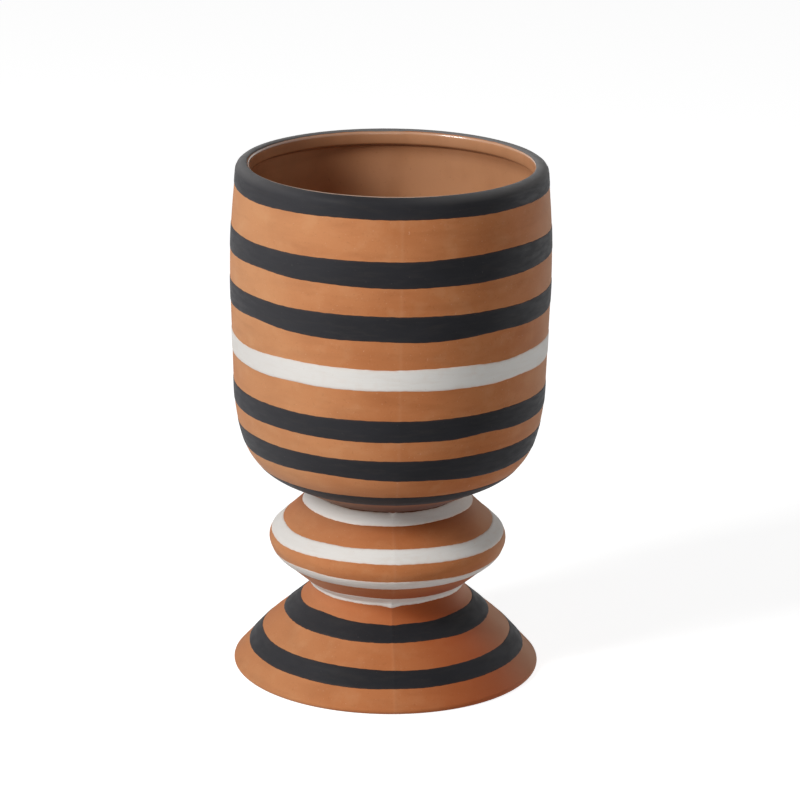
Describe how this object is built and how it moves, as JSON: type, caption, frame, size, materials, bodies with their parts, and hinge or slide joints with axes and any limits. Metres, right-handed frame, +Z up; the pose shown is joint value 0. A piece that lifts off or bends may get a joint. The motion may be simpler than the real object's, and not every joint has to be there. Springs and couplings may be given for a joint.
{
  "type": "footed planter",
  "caption": "Cylindrical terracotta bowl on a rounded knop and a flared hollow foot, banded outside with dark and white slip and glazed inside.",
  "frame": {"origin": "centre of the ring that the foot stands on", "axes": "+Z up along the axis that every section is turned about; the mould seam faces -Y"},
  "size_m": [0.1656, 0.1656, 0.2703],
  "materials": {
    "terracotta": "matte unglazed",
    "dark_slip": "matte",
    "white_slip": "matte",
    "clear_glaze": "gloss"
  },
  "bodies": {
    "root": {"bowl": "terracotta", "knop": "terracotta", "foot": "terracotta", "liner_glaze": "clear_glaze", "rim_band_dark": "dark_slip", "shoulder_band_dark": "dark_slip", "upper_belly_band_dark": "dark_slip", "belly_band_white": "white_slip", "lower_belly_band_dark": "dark_slip", "heel_band_dark": "dark_slip", "under_band_dark": "dark_slip", "knop_top_band_white": "white_slip", "knop_shoulder_band_white": "white_slip", "knop_under_band_white": "white_slip", "neck_band_white": "white_slip", "foot_upper_band_dark": "dark_slip", "foot_lower_band_dark": "dark_slip"}
  },
  "joints": []
}
